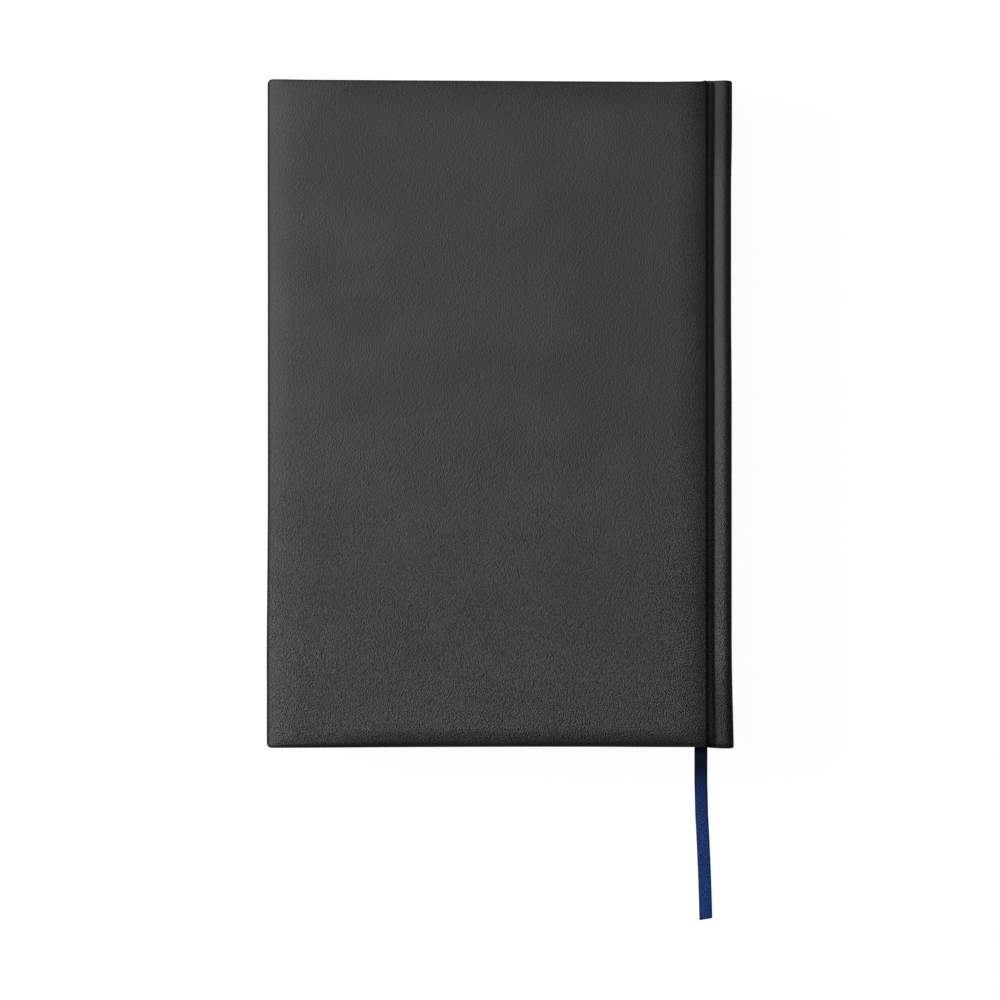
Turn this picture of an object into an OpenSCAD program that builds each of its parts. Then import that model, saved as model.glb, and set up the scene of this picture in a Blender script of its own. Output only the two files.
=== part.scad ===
// Hardback diary with padded leatherette covers, a flat spine and a ribbon marker.
// It lies closed on its front cover, with the spine at +X and the head at +Y.
// Millimetres. The origin is on the table, under the middle of the book.

/* [Page block] */
// Width of the pages, from the spine to the fore-edge
page_w = 143; // [110:1:160]
// Height of the pages, from the tail to the head
page_h = 210; // [180:1:240]
// Thickness of the sewn pages
block_t = 15; // [12:0.5:24]
// Thickness of one endpaper
paper_t = 0.2; // [0.15:0.05:0.25]

/* [Covers] */
// Overhang of the covers past the pages at head, tail and fore-edge
square_w = 3; // [3:0.5:5]
// Thickness of a cover board
board_t = 2; // [1.5:0.25:3]
// Rise of the foam pad above its board
pad_t = 1.8; // [1:0.1:2.5]
// Width of the rolled margin round the pad
pad_margin = 7; // [5:0.5:10]
// Radius where the margin turns down over the board's edge
shoulder_r = 1.5; // [1:0.1:2]
// Thickness of the leatherette
skin_t = 0.4; // [0.3:0.05:0.5]
// Width of the leatherette that is turned in behind the boards
turn_in = 14; // [10:1:18]

/* [Spine and joints] */
// Thickness of the spine board
spine_board_t = 2; // [1.5:0.25:2.5]
// Open space between the spine board and the spine lining
hollow_t = 1; // [0.8:0.1:1.5]
// Thickness of the gauze and of the paper lining on the spine
lining_t = 0.3; // [0.2:0.05:0.3]
// Distance from the spine's face to the edge of a cover board
joint_w = 8.6; // [8.4:0.1:10]
// Width of the gauze that is glued under each board
flange_w = 19.4; // [12:0.2:24]
// Diameter of the head band and the tail band
band_d = 1.8; // [1.2:0.2:2]

/* [Ribbon] */
// Width of the ribbon
ribbon_w = 4.3; // [3:0.1:5]
// Thickness of the ribbon
ribbon_t = 0.3; // [0.2:0.05:0.3]

/* [Hidden] */

// Heights above the face of the page block, the same for both covers
leaf_gap = 0.1;
paste_u = paper_t + leaf_gap;
under_u = paste_u + paper_t;
board_u = under_u + skin_t;
foam_u = board_u + board_t;
cover_u = foam_u + pad_t + skin_t;
groove_u = under_u + lining_t + skin_t;
step_w = 0.3;

// Places along Z
block_lo = cover_u;
block_hi = block_lo + block_t;
mid_z = block_lo + block_t / 2;

// Places along X. The spine profiles count theirs from the spine's face, so they are negative.
block_r = -(skin_t * 2 + spine_board_t + hollow_t + lining_t * 2);
spine_x = (page_w + square_w - block_r) / 2;
fore_x = -spine_x;
block_x = spine_x + block_r;
page_x = block_x - page_w;
board_x = spine_x - joint_w;
cover_x = board_x + skin_t;
cloth_r = 1.1 - joint_w;
strip_r = 1.9 - joint_w;
paste_r = 0.6 - joint_w;
foot_r = 0.7 - joint_w;

// Places along Y
head_y = page_h / 2 + square_w;
page_y = page_h / 2;
mull_y = head_y - turn_in - 2;
lining_y = page_y - 5;

// Ridge of the spine: a rounded crest over the board's edge, then a slope down to the groove
crest_r = spine_board_t + skin_t;
crest_u = foam_u;
slope_w = 3.5;
slope_h = 1;
slope_r = (slope_w * slope_w + slope_h * slope_h) / 2 / slope_h;
slope_a = asin(slope_w / slope_r);
slope_foot = 0.5;

// Roll of the padded margin
margin_r = (pad_margin * pad_margin + pad_t * pad_t) / 2 / pad_t;
roll_a = asin((pad_margin - shoulder_r) / (margin_r - shoulder_r));

// Slot between two pages that holds the ribbon
slot_x = spine_x - 9.1;
slot_w = ribbon_w + 1.5;
slot_t = ribbon_t + 0.2;

leather_c = [0.13, 0.13, 0.14];
board_c = [0.55, 0.53, 0.5];
foam_c = [0.85, 0.85, 0.82];
paper_c = [0.93, 0.92, 0.87];
gauze_c = [0.8, 0.79, 0.74];
band_c = [0.2, 0.24, 0.36];
ribbon_c = [0.13, 0.19, 0.38];

// Ribbon route over the head: along X from the spine face, along Y from the pages' head edge,
// along Z from mid thickness, then the turn of the ribbon's width, 0 across the pages' thickness
// and 120 along the page
head_route = [
    [-3.65, -26, 0, 0],
    [-3.65, -14, 0, 0],
    [-3.65, -5, 0, 0],
    [-3.65, -1, 0, 0],
    [-3.7, 0.8, 0, 0],
    [-4, 1.6, 0, 0],
    [-4.5, 2.05, 0, 0],
    [-5.1, 2.15, 0, 5],
    [-5.7, 2.15, 0, 15],
    [-6.3, 2.1, 0, 28],
    [-6.9, 2, 0, 42],
    [-7.4, 1.85, 0, 56],
    [-7.9, 1.65, 0, 70],
    [-8.3, 1.4, 0, 84],
    [-8.7, 1.1, 0, 98],
    [-9, 0.8, 0, 110],
    [-9.1, 0.4, 0, 120],
    [-9.1, -0.5, 0, 120]
];
// Ribbon route in the slot: shares of the page height
slot_route = [0.45, 0.36, 0.27, 0.18, 0.09, 0, -0.09, -0.18, -0.27, -0.36, -0.45];
// Ribbon route past the tail: along X from the slot, along Y from the pages' tail edge,
// then the share of the way down to the table that is left
tail_route = [
    [0, 0.5, 1],
    [0, -1.5, 1],
    [0, -3.5, 0.98],
    [0.05, -5.5, 0.91],
    [0.15, -7.5, 0.78],
    [0.25, -9.5, 0.62],
    [0.4, -11.5, 0.46],
    [0.5, -13.5, 0.31],
    [0.6, -15.5, 0.19],
    [0.7, -17.5, 0.1],
    [0.8, -20, 0.04],
    [0.9, -23, 0.01],
    [1, -27, 0],
    [1.3, -32.5, 0],
    [1.6, -39, 0],
    [1.9, -46, 0],
    [2.15, -53, 0],
    [2.4, -62, 0]
];
rest_z = ribbon_t / 2 + 0.05;
ribbon_route = concat(
    [for (p = head_route) [spine_x + p[0], page_y + p[1], mid_z + p[2], p[3]]],
    [for (s = slot_route) [slot_x, s * page_h, mid_z, 120]],
    [for (p = tail_route) [slot_x + p[0], p[1] - page_y, rest_z + p[2] * (mid_z - rest_z), 120]]
);

// Points on an arc, from angle a to angle b
function arc(x, y, r, a, b, n = 8) = [
    for (i = [0:n]) let (turn = a + (b - a) * i / n) [x + r * cos(turn), y + r * sin(turn)]
];

function unit(v) = v / norm(v);

// Upper half of the spine cloth's outline, from the groove to the spine's face, t inside the surface
function ridge(t) = concat(
    [[cloth_r - (t > 0 ? 1 : 0), max(groove_u - t, under_u)]],
    [[-crest_r - slope_w - slope_foot + t / 2, max(groove_u - t, under_u)]],
    arc(-crest_r, crest_u - slope_r, slope_r - t, 90 + slope_a, 90, 6),
    [for (i = [1:8]) [-crest_r, crest_u - crest_r] + (crest_r - t) * [sin(i * 11.25), cos(i * 11.25)]]
);

// Outline of a padded cover between a and b, t inside the surface
function pad(a, b, t) = let (
    roll_u = cover_u - margin_r,
    shoulder_u = roll_u + (margin_r - shoulder_r) * cos(roll_a)
) concat(
    [[a + t, under_u]],
    arc(a + shoulder_r, shoulder_u, shoulder_r - t, 180, 90 + roll_a, 4),
    arc(a + pad_margin, roll_u, margin_r - t, 90 + roll_a, 90),
    arc(b - pad_margin, roll_u, margin_r - t, 90, 90 - roll_a),
    arc(b - shoulder_r, shoulder_u, shoulder_r - t, 90 - roll_a, 0, 4),
    [[b - t, under_u]]
);

// Direction of the ribbon's width after a turn about the diagonal [1, 1, 1]
function width_way(a) = let (c = (1 - cos(a)) / 3, s = sin(a) / sqrt(3)) [c + s, c - s, (1 + 2 * cos(a)) / 3];

// Block from one corner to the other
module block(low, high) {
    translate(low)
        cube(high - low);
}

// Profile drawn in X and Z, extruded from y0 to y1
module along_y(y0, y1) {
    translate([0, y1, 0])
        rotate([90, 0, 0])
            linear_extrude(height = y1 - y0)
                children();
}

// Profile drawn in Y and Z, extruded from x0 to x1
module along_x(x0, x1) {
    translate([x0, 0, 0])
        rotate([90, 0, 90])
            linear_extrude(height = x1 - x0)
                children();
}

// Children drawn from a face of the page block outwards: 1 for the back cover, -1 for the front
module on_face(side) {
    translate([0, 0, side > 0 ? block_hi : block_lo])
        mirror([0, 0, side > 0 ? 0 : 1])
            children();
}

// Spine outline, closed at the groove, t inside the surface
module spine_envelope(t) {
    half = block_t / 2;
    last = len(ridge(t)) - 1;
    translate([spine_x, mid_z])
        polygon(concat(
            [for (p = ridge(t)) [p[0], p[1] + half]],
            [for (i = [last:-1:0]) [ridge(t)[i][0], -ridge(t)[i][1] - half]]
        ));
}

module spine_board_section() {
    intersection() {
        spine_envelope(skin_t);
        translate([spine_x - crest_r, 0])
            square([spine_board_t, block_hi + block_lo]);
    }
}

module page_block() {
    color(paper_c)
        difference() {
            block([page_x, -page_y, block_lo], [block_x, page_y, block_hi]);
            block(
                [slot_x - slot_w / 2, -page_y - 1, mid_z - slot_t / 2],
                [slot_x + slot_w / 2, page_y + 1, mid_z + slot_t / 2]
            );
        }
}

// Free endpaper with its fold at the spine
module flyleaf(side) {
    fold = [
        [page_x, 0],
        [block_x, 0],
        [block_x, under_u],
        [spine_x + cloth_r + 0.1, under_u],
        [spine_x + cloth_r + 0.1, paste_u],
        [block_x - paper_t, paste_u],
        [block_x - paper_t, paper_t],
        [page_x, paper_t]
    ];
    color(paper_c)
        on_face(side)
            along_y(-page_y, page_y)
                polygon(fold);
}

// Gauze over the back of the pages, with the two strips that cross the joints
module spine_mull() {
    flange_u = under_u + lining_t;
    color(gauze_c) {
        block([block_x, -mull_y, block_lo - flange_u], [block_x + lining_t, mull_y, block_hi + flange_u]);
        for (side = [-1, 1])
            on_face(side)
                block([spine_x + strip_r, -mull_y, under_u], [block_x, mull_y, flange_u]);
    }
}

module spine_lining() {
    x = block_x + lining_t;
    color(paper_c)
        block([x, -lining_y, block_lo], [x + lining_t, lining_y, block_hi]);
}

// Sewn bead on a strip of tape: 1 at the head, -1 at the tail
module end_band(side) {
    color(band_c)
        mirror([0, side > 0 ? 0 : 1, 0]) {
            translate([block_x - 0.5, page_y + band_d / 2, block_lo])
                cylinder(h = block_t, d = band_d, $fn = 32);
            block(
                [block_x, mull_y + 1, block_lo],
                [block_x + lining_t, page_y + band_d / 2, block_hi]
            );
        }
}

// Flat ribbon swept along its route
module ribbon_bookmark() {
    edge = 0.15;
    section = [
        [ribbon_w / 2, -ribbon_t / 4], [ribbon_w / 2, ribbon_t / 4],
        [ribbon_w / 2 - edge, ribbon_t / 2], [edge - ribbon_w / 2, ribbon_t / 2],
        [-ribbon_w / 2, ribbon_t / 4], [-ribbon_w / 2, -ribbon_t / 4],
        [edge - ribbon_w / 2, -ribbon_t / 2], [ribbon_w / 2 - edge, -ribbon_t / 2]
    ];
    sides = len(section);
    last = len(ribbon_route) - 1;
    centres = [for (p = ribbon_route) [p[0], p[1], p[2]]];
    rings = [
        for (i = [0:last]) let (
            way = unit(centres[min(i + 1, last)] - centres[max(i - 1, 0)]),
            across = width_way(ribbon_route[i][3]),
            up = unit(cross(way, across))
        ) [for (s = section) centres[i] + s[0] * across + s[1] * up]
    ];
    walls = [
        for (i = [0:last - 1], k = [0:sides - 1]) let (
            a = i * sides + k,
            b = i * sides + (k + 1) % sides
        ) each [[a, b + sides, b], [a, a + sides, b + sides]]
    ];
    start = [for (k = [0:sides - 1]) k];
    end = [for (k = [sides - 1:-1:0]) last * sides + k];
    color(ribbon_c)
        polyhedron(points = [for (ring = rings) each ring], faces = concat([start], walls, [end]));
}

module spine_board() {
    color(board_c)
        along_y(skin_t - head_y, head_y - skin_t)
            spine_board_section();
}

// Leatherette over the spine and into the grooves, doubled at head and tail where it is turned in
module spine_leatherette() {
    turn_y = head_y - turn_in;
    color(leather_c) {
        along_y(-turn_y, turn_y)
            difference() {
                spine_envelope(0);
                spine_envelope(skin_t);
            }
        for (side = [-1, 1])
            mirror([0, side > 0 ? 0 : 1, 0]) {
                along_y(turn_y, head_y - skin_t)
                    spine_turned_section();
                along_y(head_y - skin_t, head_y) {
                    spine_turned_section();
                    spine_board_section();
                }
            }
    }
}

module spine_turned_section() {
    reach = block_t / 2 + crest_u - crest_r;
    difference() {
        union() {
            difference() {
                spine_envelope(0);
                spine_envelope(skin_t * 2);
            }
            translate([spine_x - crest_r - skin_t, mid_z - reach])
                square([skin_t * 2, reach * 2]);
        }
        spine_board_section();
    }
}

module cover_board(side) {
    color(board_c)
        on_face(side)
            board_body();
}

module board_body() {
    block([fore_x + skin_t, skin_t - head_y, board_u], [board_x, head_y - skin_t, foam_u]);
}

module cover_foam(side) {
    color(foam_c)
        on_face(side)
            foam_body();
}

module foam_body() {
    intersection() {
        padded_body(skin_t);
        block([fore_x, -head_y, foam_u], [cover_x, head_y, cover_u]);
    }
}

// Pillow shape of a cover, t inside its surface
module padded_body(t) {
    intersection() {
        along_y(t - head_y, head_y - t)
            polygon(pad(fore_x, cover_x, t));
        along_x(fore_x + t, cover_x - t)
            polygon(pad(-head_y, head_y, t));
    }
}

// Leatherette over the pad, round the board and turned in behind it
module cover_leatherette(side) {
    window_y = head_y - turn_in;
    color(leather_c)
        on_face(side)
            difference() {
                union() {
                    padded_body(0);
                    block([board_x, -head_y, under_u + lining_t], [spine_x + foot_r, head_y, groove_u]);
                }
                board_body();
                foam_body();
                block([fore_x + turn_in, -window_y, under_u - 1], [board_x, window_y, board_u]);
                block([board_x - 1, -window_y, under_u - 1], [cover_x + 1, window_y, under_u + lining_t]);
            }
}

// Strip of the spine gauze that is glued under a cover board
module mull_flange(side) {
    far_x = board_x - flange_w;
    color(gauze_c)
        on_face(side)
            block([far_x, -mull_y, under_u], [spine_x + paste_r, mull_y, under_u + lining_t]);
}

// Endpaper glued inside a cover, which dips where no leatherette lies under it
module pastedown(side) {
    dip_low = [fore_x + turn_in + step_w, turn_in + step_w - head_y, 0];
    dip_high = [board_x - flange_w - step_w, head_y - turn_in - step_w, board_u - paper_t];
    wall = [paper_t, paper_t, 0];
    color(paper_c)
        on_face(side)
            difference() {
                union() {
                    block([page_x, -page_y, paste_u], [spine_x + paste_r, page_y, under_u]);
                    block(dip_low - wall + [0, 0, paste_u], dip_high + wall + [0, 0, paper_t]);
                }
                block(dip_low, dip_high);
            }
}

page_block();
flyleaf(1);  // back_flyleaf
flyleaf(-1);  // front_flyleaf
spine_mull();
spine_lining();
end_band(1);  // head_band
end_band(-1);  // tail_band
ribbon_bookmark();
spine_board();
spine_leatherette();
cover_board(1);  // back_cover_board
cover_foam(1);  // back_cover_foam
cover_leatherette(1);  // back_cover_leatherette
mull_flange(1);  // back_mull_flange
pastedown(1);  // back_pastedown
cover_board(-1);  // front_cover_board
cover_foam(-1);  // front_cover_foam
cover_leatherette(-1);  // front_cover_leatherette
mull_flange(-1);  // front_mull_flange
pastedown(-1);  // front_pastedown
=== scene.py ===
# Padded diary, closed, back cover up, with its ribbon marker on a white table
import math
import bmesh
import bpy
import numpy as np
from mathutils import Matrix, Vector, noise


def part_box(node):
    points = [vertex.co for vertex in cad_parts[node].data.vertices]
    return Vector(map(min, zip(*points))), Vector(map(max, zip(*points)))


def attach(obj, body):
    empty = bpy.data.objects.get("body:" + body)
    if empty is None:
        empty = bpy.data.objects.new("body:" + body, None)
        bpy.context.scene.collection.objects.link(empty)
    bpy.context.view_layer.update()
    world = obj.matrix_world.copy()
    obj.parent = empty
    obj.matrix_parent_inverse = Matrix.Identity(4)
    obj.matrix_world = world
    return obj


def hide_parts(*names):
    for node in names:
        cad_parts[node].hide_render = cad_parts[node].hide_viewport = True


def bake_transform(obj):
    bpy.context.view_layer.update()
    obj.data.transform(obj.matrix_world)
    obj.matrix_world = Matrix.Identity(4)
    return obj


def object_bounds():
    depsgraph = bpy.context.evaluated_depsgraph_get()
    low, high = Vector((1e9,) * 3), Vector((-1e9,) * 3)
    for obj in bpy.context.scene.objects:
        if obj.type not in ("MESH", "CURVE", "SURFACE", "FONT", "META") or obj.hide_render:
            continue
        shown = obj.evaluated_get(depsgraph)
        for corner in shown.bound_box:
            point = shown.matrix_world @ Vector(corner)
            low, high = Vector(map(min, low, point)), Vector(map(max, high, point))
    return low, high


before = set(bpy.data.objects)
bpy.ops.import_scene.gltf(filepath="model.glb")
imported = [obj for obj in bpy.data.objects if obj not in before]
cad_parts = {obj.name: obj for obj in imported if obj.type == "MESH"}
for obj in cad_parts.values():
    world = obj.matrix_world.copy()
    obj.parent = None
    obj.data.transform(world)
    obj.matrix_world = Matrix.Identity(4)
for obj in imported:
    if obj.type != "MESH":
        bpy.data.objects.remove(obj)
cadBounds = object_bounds()
mm = 0.001

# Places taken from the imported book
blockLow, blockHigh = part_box("page_block")
skinLow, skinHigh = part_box("back_cover_leatherette")
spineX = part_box("spine_leatherette")[1].x       # outer face of the spine
foreX = skinLow.x                               # fore-edge of the covers
endY = skinHigh.y                               # head edge of the covers, the tail is at minus this
faceTop, faceBottom = blockHigh.z, blockLow.z   # the two faces of the page block
coverDepth = skinHigh.z - faceTop
midZ = (faceTop + faceBottom) / 2


# Small helpers

def smooth(t):
    t = min(1.0, max(0.0, t))
    return t * t * (3 - 2 * t)


def lumps(x, y, size, seed):
    # soft uneven rise and fall, from about -1 to 1
    return noise.noise(Vector((x / size + seed, y / size - seed, seed * 1.7)))


def newPiece(name, points, faces):
    mesh = bpy.data.meshes.new(name)
    mesh.from_pydata([tuple(p) for p in points], [], faces)
    piece = bpy.data.objects.new(name, mesh)
    bpy.context.scene.collection.objects.link(piece)
    return piece


def makePiece(name, points, faces, crease=40):
    piece = newPiece(name, points, faces)
    tidyMesh(piece, crease)
    return piece


def tidyMesh(piece, crease):
    bm = bmesh.new()
    bm.from_mesh(piece.data)
    bmesh.ops.remove_doubles(bm, verts=bm.verts, dist=2e-6)
    bmesh.ops.dissolve_degenerate(bm, edges=bm.edges, dist=1e-6)
    for face in bm.faces:
        face.smooth = True
    for edge in bm.edges:
        edge.smooth = len(edge.link_faces) == 2 and edge.calc_face_angle(0) < math.radians(crease)
    bm.to_mesh(piece.data)
    bm.free()


def thicken(piece, thickness):
    # gives a sheet its thickness behind the modelled side, and applies it
    solid = piece.modifiers.new("thickness", "SOLIDIFY")
    solid.thickness = thickness
    solid.offset = -1
    solid.use_even_offset = False
    applyModifiers(piece)


def applyModifiers(piece):
    shaped = piece.evaluated_get(bpy.context.evaluated_depsgraph_get())
    mesh = bpy.data.meshes.new_from_object(shaped)
    piece.modifiers.clear()
    piece.data = mesh


def gridFaces(columns, rows, flip=False):
    faces = []
    for i in range(columns - 1):
        for j in range(rows - 1):
            a = i * rows + j
            quad = (a, a + rows, a + rows + 1, a + 1)
            faces.append(quad[::-1] if flip else quad)
    return faces


def bothEnds(path, low, high, steps):
    # positions from low to high, with the steps of path next to each end and even ones between
    reach = path[0]
    middle = [low + reach + (high - low - 2 * reach) * k / steps for k in range(1, steps)]
    return [low + d for d in reversed(path)] + middle + [high - d for d in path]


# Shader helpers

def newMaterial(name):
    material = bpy.data.materials.new(name)
    material.use_nodes = True
    tree = material.node_tree
    return material, tree, tree.nodes["Principled BSDF"]


def link(source, slot):
    slot.id_data.links.new(source, slot)


def fill(slots, values):
    # links what comes from another node, and sets plain numbers, vectors and colours
    for slot, value in zip(slots, values):
        if isinstance(value, (int, float)):
            slot.default_value = value
        elif isinstance(value, tuple):
            slot.default_value = (*value, 1.0) if slot.type == "RGBA" else value
        else:
            link(value, slot)


def addNode(tree, kind, **values):
    node = tree.nodes.new(kind)
    for key, value in values.items():
        if hasattr(node, key):
            setattr(node, key, value)
        else:
            fill([node.inputs[key]], [value])
    return node


def mathNode(operation, *values):
    tree = next(value for value in values if not isinstance(value, (int, float))).id_data
    node = addNode(tree, "ShaderNodeMath", operation=operation)
    fill(node.inputs, values)
    return node.outputs[0]


def rampNode(factor, low, high, toLow=0.0, toHigh=1.0):
    node = addNode(factor.id_data, "ShaderNodeMapRange", interpolation_type="SMOOTHSTEP")
    fill(node.inputs, (factor, low, high, toLow, toHigh))
    return node.outputs["Result"]


def mixColours(factor, first, second):
    node = addNode(factor.id_data, "ShaderNodeMix", data_type="RGBA")
    fill((node.inputs[0], node.inputs[6], node.inputs[7]), (factor, first, second))
    return node.outputs[2]


def scaledPoints(vector, x, y, z):
    node = addNode(vector.id_data, "ShaderNodeVectorMath", operation="MULTIPLY")
    fill(node.inputs, (vector, (x, y, z)))
    return node.outputs[0]


def axes(vector):
    node = vector.id_data.nodes.new("ShaderNodeSeparateXYZ")
    link(vector, node.inputs[0])
    return node.outputs


def noiseNode(vector, scale, detail=2.0, roughness=0.5, give="Fac"):
    values = {"Vector": vector, "Scale": scale, "Detail": detail, "Roughness": roughness}
    return addNode(vector.id_data, "ShaderNodeTexNoise", **values).outputs[give]


def newGroup(name, inputs, outputs):
    tree = bpy.data.node_groups.new(name, "ShaderNodeTree")
    for label, kind, value in inputs:
        socket = tree.interface.new_socket(label, in_out="INPUT", socket_type=kind)
        if value is not None:
            socket.default_value = value
    for label, kind in outputs:
        tree.interface.new_socket(label, in_out="OUTPUT", socket_type=kind)
    return tree, tree.nodes.new("NodeGroupInput").outputs, tree.nodes.new("NodeGroupOutput").inputs


def useGroup(tree, group, **values):
    node = addNode(tree, "ShaderNodeGroup", node_tree=group)
    for label, value in values.items():
        fill([node.inputs[label]], [value])
    return node.outputs


def coat(shader, colour, roughness, height, strength, depth):
    # colour, roughness and bump, the part that every finish has
    bump = addNode(shader.id_data, "ShaderNodeBump", Strength=strength, Distance=depth, Height=height)
    slots = [shader.inputs[key] for key in ("Base Color", "Roughness", "Normal")]
    fill(slots, (colour, roughness, bump.outputs[0]))


def objectPoints(tree):
    return tree.nodes.new("ShaderNodeTexCoord").outputs["Object"]


# Shared effects

def makeGrainGroup():
    # fine pressed grain: close pebbles, longer one way, with hair creases between them
    tree, given, out = newGroup(
        "pressedGrain",
        [
            ("Points", "NodeSocketVector", None),
            ("Pitch", "NodeSocketFloat", 0.75),     # millimetres across the grain
            ("Stretch", "NodeSocketFloat", 0.6),    # less than 1 makes the pebbles longer
            ("Crease", "NodeSocketFloat", 0.5),
        ],
        [("Height", "NodeSocketFloat"), ("Speck", "NodeSocketFloat"), ("Patch", "NodeSocketFloat")],
    )
    points = given["Points"]
    wander = 0.0012     # metres that the grain strays from straight rows
    shift = addNode(tree, "ShaderNodeVectorMath", operation="MULTIPLY_ADD")
    fill(shift.inputs, (noiseNode(points, 420, give="Color"), (wander, wander, wander), points))
    across = mathNode("DIVIDE", 1000.0, given["Pitch"])
    along = mathNode("MULTIPLY", across, given["Stretch"])
    place, cells = axes(shift.outputs[0]), tree.nodes.new("ShaderNodeCombineXYZ")
    for axis, scale in zip("XYZ", (across, along, across)):
        link(mathNode("MULTIPLY", place[axis], scale), cells.inputs[axis])
    cells = cells.outputs[0]
    pebbles = addNode(tree, "ShaderNodeTexVoronoi", Vector=cells, feature="F1", Randomness=0.8, Scale=1.0)
    dome = mathNode("SUBTRACT", 1.0, mathNode("MULTIPLY", pebbles.outputs["Distance"], 1.3))
    hair = mathNode("SUBTRACT", noiseNode(cells, 1.9, 1.0), 0.5)
    height = mathNode("ADD", dome, mathNode("MULTIPLY", hair, given["Crease"]))
    fill(out, (height, rampNode(height, 0.45, 0.95), noiseNode(points, 45, 3)))
    return tree


def makeFibreGroup():
    # short paper or board fibres, and a soft cloud of tone
    tree, given, out = newGroup(
        "paperFibre",
        [("Points", "NodeSocketVector", None), ("Fibre", "NodeSocketFloat", 900.0)],
        [("Height", "NodeSocketFloat"), ("Cloud", "NodeSocketFloat")],
    )
    fine = noiseNode(scaledPoints(given["Points"], 1.0, 0.35, 1.0), given["Fibre"], 5.0, 0.7)
    fill(out, (fine, noiseNode(given["Points"], 60, 3)))
    return tree


grainGroup = makeGrainGroup()
fibreGroup = makeFibreGroup()


# Leatherette over the spine and the padded covers

leather = {
    "thickness": 0.4 * mm,
    "joint": 8.2 * mm,          # from the spine's face to the edge of a padded cover
    # rolled edges of the pad: steepness at the board's edge, how late it comes, and how far down it goes
    "foreRoll": {"tilt": 23, "power": 2.0, "depth": 2.45 * mm},
    "jointRoll": {"tilt": 24, "power": 2.1, "depth": 2.25 * mm},
    "headRoll": {"tilt": 22, "power": 2.6, "depth": 1.2 * mm},
    "tailRoll": {"tilt": 52, "power": 1.0, "depth": 3.7 * mm},
    "tailNarrow": 0.45,         # the tail roll is only this deep at the fore-edge
    "boardTop": 2.2 * mm,       # from the flat of the pad down to the board
    "crown": 0.1 * mm,          # the flat is a little lower towards its edges
    "crownReach": 24 * mm,
    "under": 0.5 * mm,          # underside of the turn-in above the pages
    "groove": 1.12 * mm,        # floor of the groove above the pages
    "footR": 6.05 * mm,         # where the ridge leaves the groove
    "ridgeR": 5.55 * mm,
    "ridgeH": 1.9 * mm,
    "crestR": 2.4 * mm,
    "crestH": 2.9 * mm,
    "slopeH": 1.0 * mm,
    "boardDepth": 2.8 * mm,     # spine board with its leatherette on both sides
    "turnIn": 14.0 * mm,
    "cornerR": 1.5 * mm,
    "mitre": 5.0,               # how crisply the rolled edges meet at a corner
    "flatColumns": 44,
    "flatRows": 62,
}
look = {
    "colour": (0.0525, 0.0525, 0.053),
    # the pale colour for random patches of tone, painted glints on the pebbles and painted light
    "paleGlint": (0.126, 0.126, 0.1266),
    # the colour that painted shade mixes towards
    "dark": (0.0048, 0.0048, 0.005),
    "roughness": 0.78,
    "specular": 0.215,
    "pitch": 0.47,             # millimetres
    "stretch": 0.62,
    "crease": 0.45,
    "depth": 0.000135,
    "headDepth": 0.83,          # the grain is a little shallower towards the head and deeper towards the tail
    "tailDepth": 3.8,
}


def rollSteps(roll, count):
    # (distance in from the wall, drop below the flat), from the flat out and down to the wall
    tilt, turn = math.radians(roll["tilt"]), leather["thickness"] + 0.03 * mm
    slopes = [math.tan(tilt * ((k + 0.5) / count / 8) ** roll["power"]) / count / 8 for k in range(count * 8)]
    margin = (roll["depth"] - leather["crown"] - turn * math.cos(tilt)) / sum(slopes)
    inner = turn * (1 - math.sin(tilt))
    steps = [(inner + margin * (1 - k / count), margin * sum(slopes[:k * 8])) for k in range(count + 1)]
    drop = steps[-1][1]
    for k in range(1, 6):
        a = tilt + (math.pi / 2 - tilt) * k / 5
        steps.append((turn * (1 - math.sin(a)), drop + turn * (math.cos(tilt) - math.cos(a))))
    return steps


def crownDrop(x, y):
    gaps = (x - foreX, spineX - leather["joint"] - x, endY - abs(y))
    near = sum(1 - smooth(gap / leather["crownReach"]) for gap in (min(gaps[:2]), gaps[2]))
    return leather["crown"] * near


def tailShare(x):
    return leather["tailNarrow"] + (1 - leather["tailNarrow"]) * smooth((x - foreX) / (55 * mm))


def bezier(p0, p1, p2, p3, count):
    points = []
    for k in range(count + 1):
        t = k / count
        a, b, c, d = (1 - t) ** 3, 3 * t * (1 - t) ** 2, 3 * t * t * (1 - t), t ** 3
        points.append(tuple(a * p0[n] + b * p1[n] + c * p2[n] + d * p3[n] for n in (0, 1)))
    return points


def ridgePath():
    # (distance from the spine's face, height above the pages), from the groove's floor over the crest
    s = leather
    slopeR = s["ridgeR"] - s["crestR"]
    big = (slopeR ** 2 + s["slopeH"] ** 2) / 2 / s["slopeH"]
    lean = math.asin(slopeR / big)
    pull = 0.28 * mm
    foot = bezier(
        (s["footR"], s["groove"]),
        (s["footR"] - 0.3 * mm, s["groove"]),
        (s["ridgeR"] + pull * math.cos(lean), s["ridgeH"] - pull * math.sin(lean)),
        (s["ridgeR"], s["ridgeH"]),
        6,
    )
    slope = []
    for k in range(1, 9):
        a = lean * (1 - k / 8)
        slope.append((s["crestR"] + big * math.sin(a), s["crestH"] - big * (1 - math.cos(a))))
    crest = []
    for k in range(1, 11):
        a = math.pi / 2 * k / 10
        crest.append((s["crestR"] * (1 - math.sin(a)), s["crestH"] - s["crestR"] * (1 - math.cos(a))))
    return foot, slope, crest


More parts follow.
